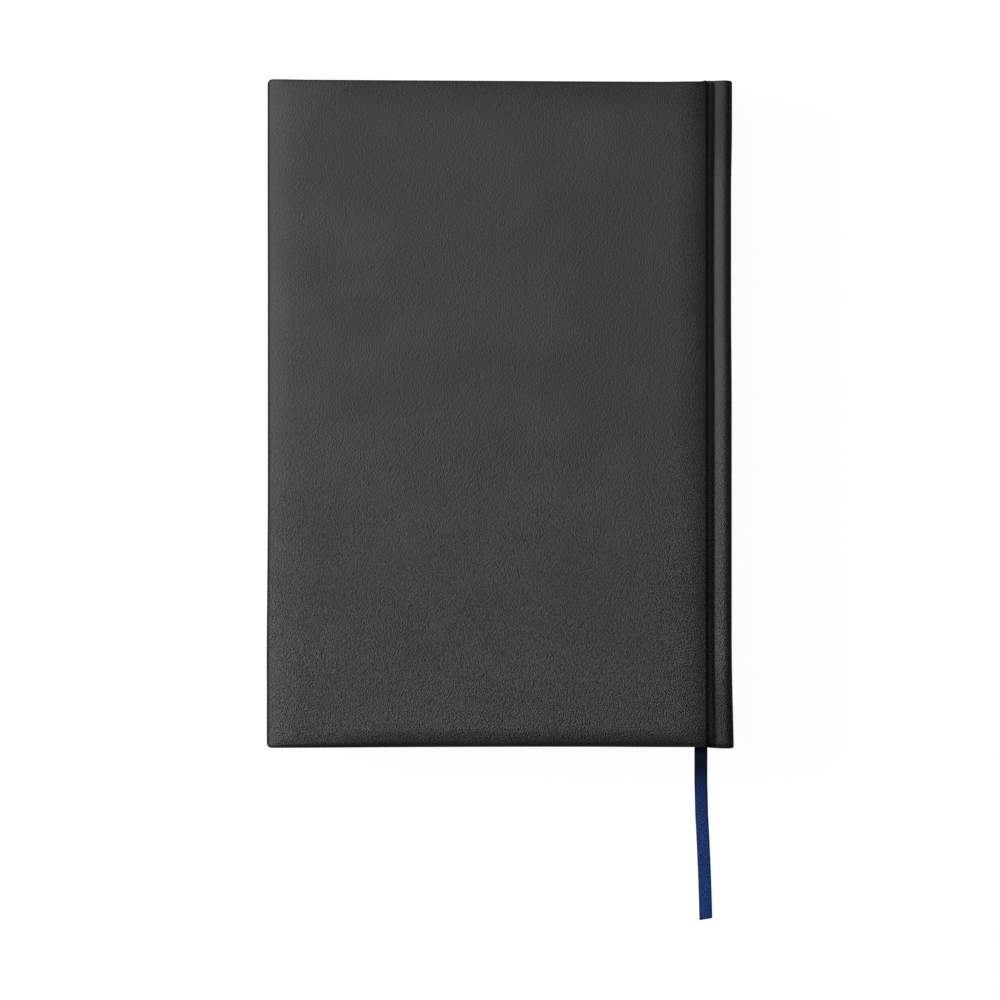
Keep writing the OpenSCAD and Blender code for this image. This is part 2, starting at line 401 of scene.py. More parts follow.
def spineColumns(upper):
    # each column: outer point and the point behind it at the board's inner side, as (r, height)
    s = leather
    foot, slope, crest = ridgePath()
    columns = []
    for r, h in foot + slope:
        deep = max(s["under"], h - 0.8 * mm)
        columns.append(((r, h), (r + 0.1 * mm * (h - s["groove"]) / s["ridgeH"], deep)))
    for k, (r, h) in enumerate(crest, 1):
        share = k / len(crest)
        back = (s["crestR"] + (0.2 + 0.2 * share) * mm, s["crestH"] - (0.8 + 1.6 * share) * mm)
        columns.append(((r, h), back))
    return columns if upper else columns[::-1]


# How this copy has settled, in millimetres outwards: edges that aren't quite straight, and a spine that
# spreads at the tail
settled = {
    "head": {"start": 0.5, "dip": 0.09, "fall": 0.79, "lift": 0.15, "groove": 0.5, "crest": -0.05},
    "tail": {"start": 0.42, "fall": 0.2, "lift": 0.12, "spine": 0.35},
    "fore": {"start": -0.02, "head": 0.05, "tail": 0.38, "tailEnd": -0.06, "frontHead": 0.42},
    "spine": {"start": 0.24, "head": 0.28, "tail": 0.19, "tailEnd": 0.72},
}


def settle(x, y, side):
    head, tail, fore, spine = settled.values()
    fromFore, fromSpine, end = (x - foreX) / mm, (spineX - x) / mm, endY / mm
    x, y = x / mm, y / mm
    share = min(1.0, max(0.0, fromFore / 125))
    onSpine = smooth((8.7 - fromSpine) / 2.2)
    outHead = head["start"] - head["dip"] * smooth(share * 8) - head["fall"] * share ** 0.8
    outHead += head["lift"] * smooth((x - 52) / 14) + head["groove"] * smooth((10 - fromSpine) / 2.4)
    outHead += head["crest"] * smooth((6.2 - fromSpine) / 2)
    outTail = tail["start"] - tail["fall"] * smooth(share * 1.3) + tail["lift"] * smooth((x - 20) / 45)
    outTail += tail["spine"] * onSpine
    outFore = fore["start"] + fore["head"] * smooth((y - 40) / 35) + fore["tail"] * smooth((-y - 25) / 65)
    outFore += fore["tailEnd"] * smooth((-y - 78) / 12)
    if side < 0:
        outFore += fore["frontHead"] * smooth((y - 72) / 14)
    outSpine = spine["start"] + spine["head"] * smooth((y - 72) / 22) + spine["tail"] * smooth((35 - y) / 30)
    outSpine += spine["tailEnd"] * smooth((-y - 70) / 45) ** 1.3
    dx = onSpine * outSpine - outFore * (1 - smooth(fromFore / 50))
    dy = outHead * smooth((y - end) / 30 + 1) - outTail * smooth((-y - end) / 30 + 1)
    return dx * mm, dy * mm


def roundCorner(x, y):
    # the outer corners of the covers, seen from above, turned on a small radius
    r = leather["cornerR"]
    a = 1 - (x - foreX) / r
    b = 1 - (endY - abs(y)) / r
    if a <= 0 or b <= 0:
        return x, y
    a, b = min(a, 1.0), min(b, 1.0)
    newA, newB = a * math.sqrt(1 - b * b / 2), b * math.sqrt(1 - a * a / 2)
    return x + (a - newA) * r, math.copysign(abs(y) - (b - newB) * r, y)


def coverColumns():
    # distance from the spine's face and drop below the pad's top, from the groove to under the fore-edge
    s = leather
    full = coverDepth - s["under"]
    floor = coverDepth - s["groove"]
    joint, fore = rollSteps(s["jointRoll"], 16), rollSteps(s["foreRoll"], 16)
    wallTop = joint[-1][1]
    fillet = 0.4 * mm
    columns = [(r * mm, floor) for r in (6.6, 6.9, 7.2, 7.5, 7.7)]
    for k in range(0, 6):
        a = math.pi / 2 * k / 5
        columns.append((s["joint"] - fillet + fillet * math.sin(a), floor - fillet * (1 - math.cos(a))))
    columns.append((s["joint"], (wallTop + floor - fillet) / 2))
    columns += [(s["joint"] + d, drop) for d, drop in reversed(joint)]
    width = spineX - foreX
    start, stop = s["joint"] + joint[0][0], width - fore[0][0]
    columns += [(start + (stop - start) * k / s["flatColumns"], 0.0) for k in range(1, s["flatColumns"])]
    columns += [(width - d, drop) for d, drop in fore]
    wallTop = fore[-1][1]
    columns += [(width, wallTop + (full - wallTop) * k / 4) for k in range(1, 5)]
    return columns


def endRows():
    # (y, drop of the pad, share of the way down the end wall)
    s = leather
    full = coverDepth - s["under"]
    ends = []
    for roll in (rollSteps(s["tailRoll"], 16), rollSteps(s["headRoll"], 16)):
        wallTop = roll[-1][1]
        end = [(endY - d, drop, 0.0) for d, drop in roll]
        end += [(endY, wallTop + (full - wallTop) * k / 4, k / 4) for k in range(1, 5)]
        ends.append(end)
    tail = [(-y, drop, share) for y, drop, share in reversed(ends[0])]
    low, high = tail[-1][0], ends[1][0][0]
    middle = [(low + (high - low) * k / s["flatRows"], 0.0, 0.0) for k in range(1, s["flatRows"])]
    return tail + middle + ends[1]


def padPoint(r, drop, row, side):
    s = leather
    y, endDrop, share = row
    x = spineX - r
    if y < 0:
        endDrop *= tailShare(x) + (1 - tailShare(x)) * share
    power = s["mitre"]
    both = (drop ** power + endDrop ** power) ** (1 / power)
    crown = crownDrop(x, y) if r > s["joint"] else 0.0
    height = max(coverDepth - both - crown, s["under"])
    onPad = smooth((r - 12 * mm) / (8 * mm)) * smooth((endY - abs(y)) / (9 * mm))
    height += onPad * 0.05 * mm * lumps(x, y, 34 * mm, 3.1 * side)
    height += onPad * 0.022 * mm * lumps(x, y, 9 * mm, 7.3 * side)
    height -= onPad * 0.05 * mm
    x, y = roundCorner(x, y)
    dx, dy = settle(x, y, side)
    z = faceTop + height if side > 0 else faceBottom - height
    return Vector((x + dx, y + dy, z))


def spinePoint(column, row, side):
    (r, h), (rIn, hIn) = column
    y, _, share = row
    length = max(math.hypot(rIn - r, hIn - h), 0.3 * mm)
    turn = min(0.55 * mm, 0.6 * length)
    gap = endY - abs(y)
    sunk = turn - math.sqrt(max(0.0, turn ** 2 - (turn - gap) ** 2)) if gap < turn else 0.0
    f = sunk / length + (1 - sunk / length) * share
    x = spineX - (r + (rIn - r) * f)
    z = h + (hIn - h) * f
    wobble = smooth((r - 5.2 * mm) / (1.2 * mm)) * 0.13 * mm * lumps(0, y, 11 * mm, 5.0)
    dx, dy = settle(x, y, side)
    z = faceTop + z if side > 0 else faceBottom - z
    return Vector((x + dx + wobble, y + dy, z))


def spineFaceColumns(count):
    # the flat outer face of the spine, from the lower crest to the upper one
    low = faceBottom - (leather["crestH"] - leather["crestR"])
    high = faceTop + (leather["crestH"] - leather["crestR"])
    heights = [low + (high - low) * k / count - faceTop for k in range(1, count)]
    return [((0.0, z), (leather["boardDepth"], z)) for z in heights]


def makeLeather(name, side, withSpine):
    rows = endRows()
    points, count = [], len(rows)
    if withSpine:
        parts = ((spineColumns(True), -1), (spineFaceColumns(9), 1), (spineColumns(False), 1))
        points += [spinePoint(column, row, way) for columns, way in parts for column in columns for row in rows]
    points += [padPoint(r, drop, row, side) for r, drop in coverColumns() for row in rows]
    columns = len(points) // count
    faces = gridFaces(columns, count)
    addTurnIns(points, faces, columns, count)
    if side < 0:
        faces = [face[::-1] for face in faces]
    piece = makePiece(name, points, faces)
    upright(piece, side)
    thicken(piece, leather["thickness"])
    markShade(piece, side)
    return piece


# Painted shade and painted light on the leatherette, and darker ends of the spine: shares of the darkest or the
# lightest, and reaches in millimetres
paintedShading = {
    "turned": 0.66,             # painted shade where it turns down
    "turnedSpine": 0.49,
    "foreLine": 0.95,           # painted shade in thin lines along the edges
    "foreReach": 1.05,
    "tailLine": 0.93,
    "headLine": 0.48,
    "headLineReach": 0.8,
    "tail": 0.66,               # painted shade in wider borders at tail and head
    "tailReach": 6.4,
    "head": 0.36,
    "headReach": 12,
    # the spine darker towards its head and tail, then painted shade on the crest's far side and in the groove
    "spineTail": 0.5,
    "spineHead": 0.36,
    "spineEnd": 0.2,
    "crest": 0.57,
    "groove": 0.58,
    "ridge": 0.13,              # painted light on the ridge
    # painted light on the groove's floor beside the pad's wall, more towards its ends
    "foot": 0.5,
    "footEnds": 1.2,
}


def markShade(piece, side):
    # stores the painted shade and the painted light of the leatherette at each point
    marks = [piece.data.attributes.new(name, "FLOAT", "POINT") for name in ("shade", "paintedLight")]
    for vertex, normal in zip(piece.data.vertices, piece.data.vertex_normals):
        x, y, _ = vertex.co
        dx, dy = settle(x, y, side)
        fromTail, fromHead = max(0.0, endY + y - dy) / mm, max(0.0, endY - y + dy) / mm
        fromFore, fromEnd = (x - foreX - dx) / mm, min(fromTail, fromHead)
        fromSpine = (spineX + settle(spineX, y, side)[0] - x) / mm
        values = shadeAt(fromFore, fromSpine, fromTail, fromHead, fromEnd, y / mm, abs(normal.vector.z))
        for mark, value in zip(marks, values):
            mark.data[vertex.index].value = value


def shadeAt(fromFore, fromSpine, fromTail, fromHead, fromEnd, y, level):
    onSpine = smooth((7 - fromSpine) / 2)
    atJoint = smooth((10 - fromSpine) / 1.5) * (1 - onSpine)
    turned = paintedShading["turned"] + (paintedShading["turnedSpine"] - paintedShading["turned"]) * onSpine
    tailWidth = 0.6 + smooth(fromFore / 18)
    # painted shade where the leatherette turns down, and in thin lines along its edges
    turned = max(
        turned * (1 - atJoint) * smooth((0.87 - level) / 0.3),
        paintedShading["foreLine"] * smooth(1.22 - fromFore / paintedShading["foreReach"]),
        paintedShading["tailLine"] * smooth(1.15 - (fromTail - settled["tail"]["start"]) / tailWidth),
        paintedShading["headLine"] * smooth(1.3 - fromHead / paintedShading["headLineReach"]),
    )
    # painted shade in wider borders at tail and head; the spine is darker towards its ends
    tail = paintedShading["tail"] * max(0.0, 1 - fromTail / paintedShading["tailReach"]) ** 0.8 * smooth((fromFore - 4) / 40)
    head = paintedShading["head"] * max(0.0, 1 - fromHead / paintedShading["headReach"]) ** 1.2 * smooth((fromFore - 6) / 30)
    ends = paintedShading["spineTail"] * smooth((-y - 74) / 22) + paintedShading["spineHead"] * smooth((y - 68) / 22)
    ends += paintedShading["spineEnd"] * smooth(1 - fromTail / 3.4)
    # painted shade on the crest's far side and on the groove's floor
    crest = paintedShading["crest"] * smooth((3.1 - fromSpine) / 1.25)
    inGroove = smooth((fromSpine - 5.5) / 0.4) * smooth((7.4 - fromSpine) / 1.2)
    groove = paintedShading["groove"] * smooth(fromEnd / 4) * inGroove
    borderShade = max(tail, head) * (1 - onSpine) + (1 - (1 - ends) * (1 - crest)) * onSpine
    # painted light on the ridge's slope and on the groove's floor beside the pad's wall
    ridge = paintedShading["ridge"] * smooth((6 - fromSpine) / 0.8) * smooth(fromSpine - 2.4)
    foot = smooth((fromSpine - 6.6) / 0.5) * smooth((8.7 - fromSpine) / 0.4)
    foot *= paintedShading["foot"] + paintedShading["footEnds"] * smooth(1 - fromEnd / 7)
    return 1 - (1 - turned) * (1 - borderShade) * (1 - groove), max(ridge, foot)


def addTurnIns(points, faces, columns, count):
    # leatherette folded behind: along head and tail, and along the fore-edge, with mitred corners
    innerX, innerY = foreX + leather["turnIn"], endY - leather["turnIn"]
    rings = [([i * count + j for i in range(columns)], j == 0) for j in (0, count - 1)]
    rings.append(([(columns - 1) * count + j for j in range(count)], True))
    for chain, flip in rings:
        inner = range(len(points), len(points) + len(chain))
        for p in [points[index] for index in chain]:
            points.append(Vector((max(p.x, innerX), max(-innerY, min(innerY, p.y)), p.z)))
        for k in range(len(chain) - 1):
            quad = (chain[k], chain[k + 1], inner[k + 1], inner[k])
            faces.append(quad if flip else quad[::-1])


def upright(piece, side):
    # turns all faces round if the widest one looks the wrong way
    face = max(piece.data.polygons, key=lambda f: f.area)
    if face.normal.z * side < 0:
        piece.data.flip_normals()


def leatherMaterial():
    material, tree, shader = newMaterial("leatherette")
    points = objectPoints(tree)
    along = axes(points)["Y"]
    toTail, toHead = rampNode(along, 0.012, -0.078), rampNode(along, 0.02, 0.1)
    stretch = mathNode("MULTIPLY_ADD", toTail, 0.3, look["stretch"])
    pitch, crease = look["pitch"], look["crease"]
    grain = useGroup(tree, grainGroup, Points=points, Stretch=stretch, Pitch=pitch, Crease=crease)
    # random patches of tone, with painted light towards the tail, and a little darker towards the head
    tone = mathNode("MULTIPLY_ADD", toTail, 0.02, rampNode(grain["Patch"], 0.3, 0.7, 0.0, 0.105))
    tone = mathNode("MULTIPLY_ADD", toHead, -0.04, tone)
    # painted glints on the pebble tops, stronger towards the tail
    tailGlints = mathNode("MULTIPLY", rampNode(grain["Height"], 0.15, 0.6, 0.0, 0.6), toTail)
    paleGlint = mathNode("MULTIPLY_ADD", grain["Speck"], 0.11, tailGlints)
    marks = [addNode(tree, "ShaderNodeAttribute", attribute_name=name) for name in ("paintedLight", "shade")]
    paintedLight, shade = (mark.outputs["Fac"] for mark in marks)
    # the pale colour takes the random tone, the painted glints and the painted light
    colour = mixColours(mathNode("ADD", mathNode("ADD", tone, paleGlint), paintedLight), look["colour"], look["paleGlint"])
    rough = rampNode(grain["Height"], 0.2, 1.1, look["roughness"] + 0.08, look["roughness"] - 0.05)
    deeper = mathNode("MULTIPLY_ADD", toTail, look["tailDepth"] - 1.0, 1.0)
    deeper = mathNode("MULTIPLY_ADD", toHead, look["headDepth"] - 1.0, deeper)
    height = mathNode("MULTIPLY", grain["Height"], deeper)
    # painted shade, from the shade mark, mixes towards the dark colour
    coat(shader, mixColours(shade, colour, look["dark"]), rough, height, 1.0, look["depth"])
    shader.inputs["Specular IOR Level"].default_value = look["specular"]
    return material


leatherFinish = leatherMaterial()


def hang(piece, side):
    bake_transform(piece)


def dress(piece, material, node, body):
    piece.data.materials.append(material)
    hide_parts(node)
    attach(piece, body)


def coverWithLeather(name, side, body, *nodes):
    piece = makeLeather(name, side, len(nodes) > 1)
    piece.data.materials.append(leatherFinish)
    hang(piece, side)
    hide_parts(*nodes)
    print("leatherette", name, len(piece.data.polygons))


coverWithLeather("backAndSpineLeather", 1, "back_cover", "back_cover_leatherette", "spine_leatherette")
coverWithLeather("frontLeather", -1, "front_cover", "front_cover_leatherette")


# Foam pads and boards under the leatherette

foam = {
    "colour": (0.72, 0.71, 0.64),
    "shadow": (0.5, 0.48, 0.4),
    "inset": 0.55 * mm,         # leatherette and a little air
    "cellSize": 1100.0,
}


def foamMaterial():
    material, tree, shader = newMaterial("foam")
    points = objectPoints(tree)
    cells = addNode(tree, "ShaderNodeTexVoronoi", Vector=points, feature="F1", Scale=foam["cellSize"])
    depth = rampNode(cells.outputs["Distance"], 0.1, 0.6)
    colour = mixColours(depth, foam["colour"], foam["shadow"])
    coat(shader, colour, 0.95, mathNode("SUBTRACT", 1.0, depth), 0.8, 0.0003)
    return material


def fibreMaterial(name, scale, low, high, roughness, strength, depth):
    # board and kraft paper, with flecks of fibre
    material, tree, shader = newMaterial(name)
    fibre = useGroup(tree, fibreGroup, Points=objectPoints(tree), Fibre=scale)["Height"]
    coat(shader, mixColours(rampNode(fibre, 0.35, 0.7), low, high), roughness, fibre, strength, depth)
    return material


def makeLayer(name, side, node, topDrop, lowDrop, gap, thinnest, deepest):
    # a layer inside the cover, between two drops below the flat of the pad and under the rolled leatherette
    low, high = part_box(node)
    rolls = {kind: rollSteps(leather[kind], 12) for kind in ("foreRoll", "jointRoll", "headRoll", "tailRoll")}
    acrossX = bothEnds([d for d, _ in rolls["foreRoll"][:12]] + [0], low.x, high.x, 20)
    acrossY = bothEnds([d for d, _ in rolls["tailRoll"][:12]] + [0], low.y, high.y, 28)

    def dropAt(distance, kind):
        places, drops = zip(*reversed(rolls[kind]))
        return float(np.interp(distance, places, drops))

    flat = faceTop + coverDepth if side > 0 else faceBottom - coverDepth
    top, under = [], []
    for x in acrossX:
        for y in acrossY:
            dropX = max(dropAt(x - foreX, "foreRoll"), dropAt(spineX - leather["joint"] - x, "jointRoll"))
            dropY = max(dropAt(endY - y, "headRoll"), dropAt(endY + y, "tailRoll") * tailShare(x))
            above = (dropX ** 5 + dropY ** 5) ** 0.2 * 1.12 + crownDrop(x, y) + gap
            drop = min(max(topDrop, above), deepest)
            base = max(lowDrop, drop + thinnest)
            dx, dy = settle(x, y, side)
            top.append(Vector((x + dx, y + dy, flat - side * drop)))
            under.append(Vector((x + dx, y + dy, flat - side * base)))
    columns, count = len(acrossX), len(acrossY)
    faces = gridFaces(columns, count, side < 0)
    shift = len(top)
    faces += [tuple(v + shift for v in face[::-1]) for face in faces]
    rim = list(range(count))
    rim += [i * count + count - 1 for i in range(1, columns)]
    rim += [(columns - 1) * count + j for j in range(count - 2, -1, -1)]
    rim += [i * count for i in range(columns - 2, 0, -1)]
    for a, b in zip(rim, rim[1:] + rim[:1]):
        quad = (a, b, b + shift, a + shift)
        faces.append(quad if side < 0 else quad[::-1])
    return makePiece(name, top + under, faces)


def makeFoam(cover, side):
    node, top, low, thinnest = cover + "_cover_foam", leather["thickness"], leather["boardTop"], 0.04 * mm
    piece = makeLayer(cover + "Foam", side, node, top, low, foam["inset"], thinnest, math.inf)
    dress(piece, foamFinish, node, cover + "_cover")


def makeBoard(cover, side):
    node, top, thinnest = cover + "_cover_board", leather["boardTop"], 0.1 * mm
    low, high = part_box(node)
    bottom, gap = top + abs(high.z - low.z), foam["inset"] + 0.06 * mm
    piece = makeLayer(cover + "Board", side, node, top, bottom, gap, thinnest, bottom - thinnest)
    dress(piece, boardFinish, node, cover + "_cover")


boardFinish = fibreMaterial("greyBoard", 700.0, (0.3, 0.28, 0.25), (0.46, 0.44, 0.4), 0.92, 0.7, 0.0001)
foamFinish = foamMaterial()
covers = (("back", 1), ("front", -1))
for makeIt in (makeFoam, makeBoard):
    for cover, side in covers:
        makeIt(cover, side)
print("foam pads and boards")


# Endpapers: a pastedown that crosses the joint into each cover, and a free leaf on the pages

paper = {
    "thickness": 0.16 * mm,
    "colour": (0.78, 0.765, 0.7),
    "shade": (0.66, 0.64, 0.56),
    "foldR": 4.5 * mm,          # the fold at the spine side of the pages
    "bendStart": 6.9 * mm,
    "bendEnd": 8.6 * mm,
    "dip": 0.33 * mm,           # how far the sheet sinks where no leatherette lies under it
    "stepWidth": 1.1 * mm,
}


def paperMaterial():
    material, tree, shader = newMaterial("endpaper")
    fibre = useGroup(tree, fibreGroup, Points=objectPoints(tree), Fibre=1400.0)
    cloud = rampNode(fibre["Cloud"], 0.3, 0.75, 0.0, 0.4)
    fleck = rampNode(fibre["Height"], 0.35, 0.65, 0.25, 0.0)
    colour = mixColours(mathNode("ADD", cloud, fleck), paper["colour"], paper["shade"])
    coat(shader, colour, 0.85, fibre["Height"], 0.5, 0.00004)
    return material


def sheetGrid(low, high, stepsX, stepsY, heightAt, dense):
    xs = sorted(set([low[0] + (high[0] - low[0]) * k / stepsX for k in range(stepsX + 1)] + dense[0]))
    ys = sorted(set([low[1] + (high[1] - low[1]) * k / stepsY for k in range(stepsY + 1)] + dense[1]))
    xs = [x for x in xs if low[0] <= x <= high[0]]
    ys = [y for y in ys if low[1] <= y <= high[1]]
    points = [Vector((x, y, heightAt(x, y))) for x in xs for y in ys]
    return points, len(xs), len(ys)


def stepPlaces(centre, width):
    return [centre + width * k / 4 for k in range(-3, 4)]


def makePastedown(cover, side):
    node = cover + "_pastedown"
    low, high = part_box(node)
    windowX = foreX + leather["turnIn"]
    windowY = endY - leather["turnIn"]
    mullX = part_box("back_mull_flange")[0].x
    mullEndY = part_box("back_mull_flange")[1].y
    foldX = spineX - paper["foldR"]
    step = paper["stepWidth"]
    rest = 0.31 * mm
    face = faceTop if side > 0 else faceBottom

    def heightAt(x, y):
        inWindow = smooth((x - windowX) / step + 0.2) * smooth((windowY - abs(y)) / step + 0.2)
        overMull = smooth((x - mullX) / step + 0.8) * smooth((mullEndY - abs(y)) / step + 0.8)
        pressed = smooth((spineX - x - 8.4 * mm) / (1.2 * mm))
        sink = paper["dip"] * inWindow * (1 - overMull) * pressed
        bubble = 0.02 * mm * lumps(x, y, 16 * mm, 2.2 * side) * inWindow
        return face + side * (rest + sink + bubble + 0.01 * mm)

    dense = (
        stepPlaces(windowX, step) + stepPlaces(mullX, step)
        + [spineX - (6.5 + 0.1 * k) * mm for k in range(26)],
        [s * y for s in (-1, 1) for y in stepPlaces(windowY, step) + stepPlaces(mullEndY, step)],
    )
    points, columns, count = sheetGrid((low.x, low.y), (foldX, high.y), 36, 40, heightAt, dense)
    piece = makePiece(cover + "Pastedown", points, gridFaces(columns, count, side < 0), 60)
    upright(piece, -side)
    thicken(piece, paper["thickness"])
    piece.data.materials.append(paperFinish)
    hang(piece, side)
    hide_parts(node)


def makeFlyleaf(cover, side):
    node = cover + "_flyleaf"
    low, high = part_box(node)
    face = faceTop if side > 0 else faceBottom

    def heightAt(x, y):
        nearEdge = smooth((low.x + 30 * mm - x) / (30 * mm))
        wave = 0.02 * mm * lumps(x, y, 22 * mm, 4.4 * side) + 0.03 * mm * nearEdge
        return face + side * (0.2 * mm + wave)

    points, columns, count = sheetGrid((low.x, low.y), (high.x, high.y), 30, 40, heightAt, ([], []))
    piece = makePiece(cover + "Flyleaf", points, gridFaces(columns, count, side < 0), 60)
    upright(piece, side)
    thicken(piece, paper["thickness"])
    dress(piece, paperFinish, node, "book_block")


paperFinish = paperMaterial()
for makeIt in (makePastedown, makeFlyleaf):
    for cover, side in covers:
        makeIt(cover, side)
print("endpapers")


# Page block: two stacks of sewn sections that part round the ribbon

slotX = spineX - 9.1 * mm       # the ribbon lies here between two pages
pages = {
    "sections": 11,             # in each half
    "uneven": 0.05 * mm,        # trimmed edges of neighbouring sections
    "notch": 0.07 * mm,         # thin line between sections
    "part": 0.24 * mm,          # how far the pages part at the ribbon, each way
    "partReach": 11 * mm,
    "colour": (0.8, 0.785, 0.72),
    "edge": (0.6, 0.585, 0.52),
    "edgeShade": (0.4, 0.385, 0.33),
    "leafPitch": 0.085,         # millimetres
}


def blockOutline(stepX, stepY):
    # points round the block, starting at the fore-edge's tail corner
    x0, x1, y0, y1 = blockLow.x, blockHigh.x, blockLow.y, blockHigh.y
    nx, ny = round((x1 - x0) / stepX), round((y1 - y0) / stepY)
    loop = [(x0 + (x1 - x0) * k / nx, y0, 0, -1) for k in range(nx)]
    loop += [(x1, y0 + (y1 - y0) * k / ny, 1, 0) for k in range(ny)]
    loop += [(x1 - (x1 - x0) * k / nx, y1, 0, 1) for k in range(nx)]
    loop += [(x0, y1 - (y1 - y0) * k / ny, -1, 0) for k in range(ny)]
    return loop


def partAt(x):
    return pages["part"] * (1 - smooth(abs(x - slotX) / pages["partReach"] - 0.15))


def blockHalf(side, points, faces):
    loop = blockOutline(3.5 * mm, 5 * mm)
    face = faceTop if side > 0 else faceBottom
    levels = []
    sections = pages["sections"]
    for k in range(sections):
        for share, depth in ((0.0, 1.0), (0.12, 0.15), (0.5, 0.0), (0.88, 0.15)):
            levels.append(((k + share) / sections, depth, k))
    levels.append((1.0, 0.6, sections - 1))
    first = len(points)
    for t, depth, k in levels:
        for x, y, nx, ny in loop:
            near = midZ + side * partAt(x)
            z = near + (face - near) * t
            slip = pages["uneven"] * lumps(k * 9.7, (x + y) * 12, 1.0, 2.0 + side)
            inward = pages["notch"] * depth + max(0.0, -slip) + 0.02 * mm
            if nx > 0:
                inward *= 0.3
            points.append(Vector((x - nx * inward, y - ny * inward, z)))
    n = len(loop)
    for level in range(len(levels) - 1):
        for k in range(n):
            a, b = first + level * n + k, first + level * n + (k + 1) % n
            quad = (a, b, b + n, a + n)
            faces.append(quad if side > 0 else quad[::-1])
    for level in (0, len(levels) - 1):
        capRing(points, faces, first + level * n, n, (level == 0) == (side > 0))


def capRing(points, faces, first, n, flip):
    # closes a ring of points with strips across the block, so that its face can follow the parting
    nx = round((blockHigh.x - blockLow.x) / (3.5 * mm))
    ny = (n - 2 * nx) // 2
    tail = [first + k for k in range(nx + 1)]
    head = [first + nx + ny + nx - k for k in range(nx + 1)]
    left = [first + (2 * nx + ny + (ny - k)) % n for k in range(ny + 1)]
    right = [first + nx + k for k in range(ny + 1)]
    grid = [left]
    for i in range(1, nx):
        low, high = points[tail[i]], points[head[i]]
        grid.append([tail[i]] + [len(points) + k for k in range(ny - 1)] + [head[i]])
        points += [low + (high - low) * (j / ny) for j in range(1, ny)]
    grid.append(right)
    for i in range(nx):
        for j in range(ny):
            quad = (grid[i][j], grid[i + 1][j], grid[i + 1][j + 1], grid[i][j + 1])
            faces.append(quad[::-1] if flip else quad)


def pageMaterial():
    # cream paper with the leaves as fine lines on the trimmed edges
    material, tree, shader = newMaterial("pages")
    points = objectPoints(tree)
    fibre = useGroup(tree, fibreGroup, Points=points, Fibre=1200.0)
    leaves = noiseNode(scaledPoints(points, 0.03, 0.03, 1.0), 700 / pages["leafPitch"], 3, 0.75)
    broad = noiseNode(scaledPoints(points, 0.05, 0.05, 1.0), 900)
    lines = mathNode("ADD", rampNode(leaves, 0.38, 0.62, 0.55, 0.0), rampNode(broad, 0.35, 0.7, 0.25, 0.0))
    facing = axes(tree.nodes.new("ShaderNodeNewGeometry").outputs["True Normal"])
    onEdge = rampNode(mathNode("ABSOLUTE", facing["Z"]), 0.5, 0.9, 1.0, 0.0)
    cut = mixColours(lines, pages["edge"], pages["edgeShade"])
    height = mathNode("MULTIPLY_ADD", fibre["Height"], 0.2, mathNode("MULTIPLY", leaves, onEdge))
    coat(shader, mixColours(onEdge, pages["colour"], cut), 0.9, height, 0.9, 0.00012)
    return material


def makePages():
    points, faces = [], []
    blockHalf(1, points, faces)
    blockHalf(-1, points, faces)
    dress(makePiece("pages", points, faces, 35), pageMaterial(), "page_block", "book_block")


makePages()
print("pages")


# Head and tail bands: a beaded edge sewn over a cord, on a strip of tape

band = {
    "beadR": 0.86 * mm,
    "stitch": 0.75 * mm,
    "bulge": 0.09 * mm,
    "light": (0.62, 0.62, 0.6),
    "dark": (0.03, 0.045, 0.11),
}


def bandMaterial():
    material, tree, shader = newMaterial("bandThread")
    points = objectPoints(tree)
    turn = mathNode("MULTIPLY", axes(points)["Z"], math.pi / band["stitch"])
    stripe = rampNode(mathNode("SINE", turn), -0.25, 0.25)
    thread = noiseNode(scaledPoints(points, 1.0, 1.0, 0.25), 5200, 3)
    colour = mixColours(stripe, band["dark"], band["light"])
    colour = mixColours(rampNode(thread, 0.35, 0.65, 0.3, 0.0), colour, (0.02, 0.02, 0.03))
    coat(shader, colour, 0.6, thread, 0.7, 0.00008)
    shader.inputs["Sheen Weight"].default_value = 0.25
    return material


def makeBand(name, side, node):
    low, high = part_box(node)
    centreX, centreY = high.x - 0.9 * mm, (abs(high.y) if side > 0 else abs(low.y)) - 0.9 * mm
    rounds, steps = 18, 100
    points = []
    for k in range(steps + 1):
        z = low.z + 0.05 * mm + (high.z - low.z - 0.1 * mm) * k / steps
        swell = band["bulge"] * (abs(math.sin(math.pi * (z - midZ) / band["stitch"])) - 0.6)
        atEnd = 1 - 0.25 * smooth(1 - min(k, steps - k) / 3)
        r = (band["beadR"] + swell) * atEnd
        for a in range(rounds):
            turn = 2 * math.pi * a / rounds
            points.append(Vector((centreX + r * math.cos(turn), side * (centreY + r * math.sin(turn)), z)))
    faces = []
    for k in range(steps):
        for a in range(rounds):
            b = (a + 1) % rounds
            faces.append((k * rounds + a, k * rounds + b, (k + 1) * rounds + b, (k + 1) * rounds + a))
    faces.append(tuple(range(rounds))[::-1])
    faces.append(tuple(range(steps * rounds, (steps + 1) * rounds)))
    # the tape glued to the back of the pages
    tapeX, tapeEnd = blockHigh.x + 0.02 * mm, (low.y if side > 0 else -high.y)
    first = len(points)
    for x in (tapeX, tapeX + 0.22 * mm):
        for k in range(13):
            y = tapeEnd + (centreY - tapeEnd) * k / 12
            for z in (low.z + 0.1 * mm, high.z - 0.1 * mm):
                points.append(Vector((x, side * y, z)))
    for k in range(12):
        a, b = first + 2 * k, first + 26 + 2 * k
        faces += [(a, a + 2, a + 3, a + 1), (b, b + 1, b + 3, b + 2)]
        faces += [(a, b, b + 2, a + 2), (a + 1, a + 3, b + 3, b + 1)]
    piece = makePiece(name, points, faces)
    bm = bmesh.new()
    bm.from_mesh(piece.data)
    bmesh.ops.recalc_face_normals(bm, faces=bm.faces)
    bm.to_mesh(piece.data)
    bm.free()
    dress(piece, bandFinish, node, "book_block")


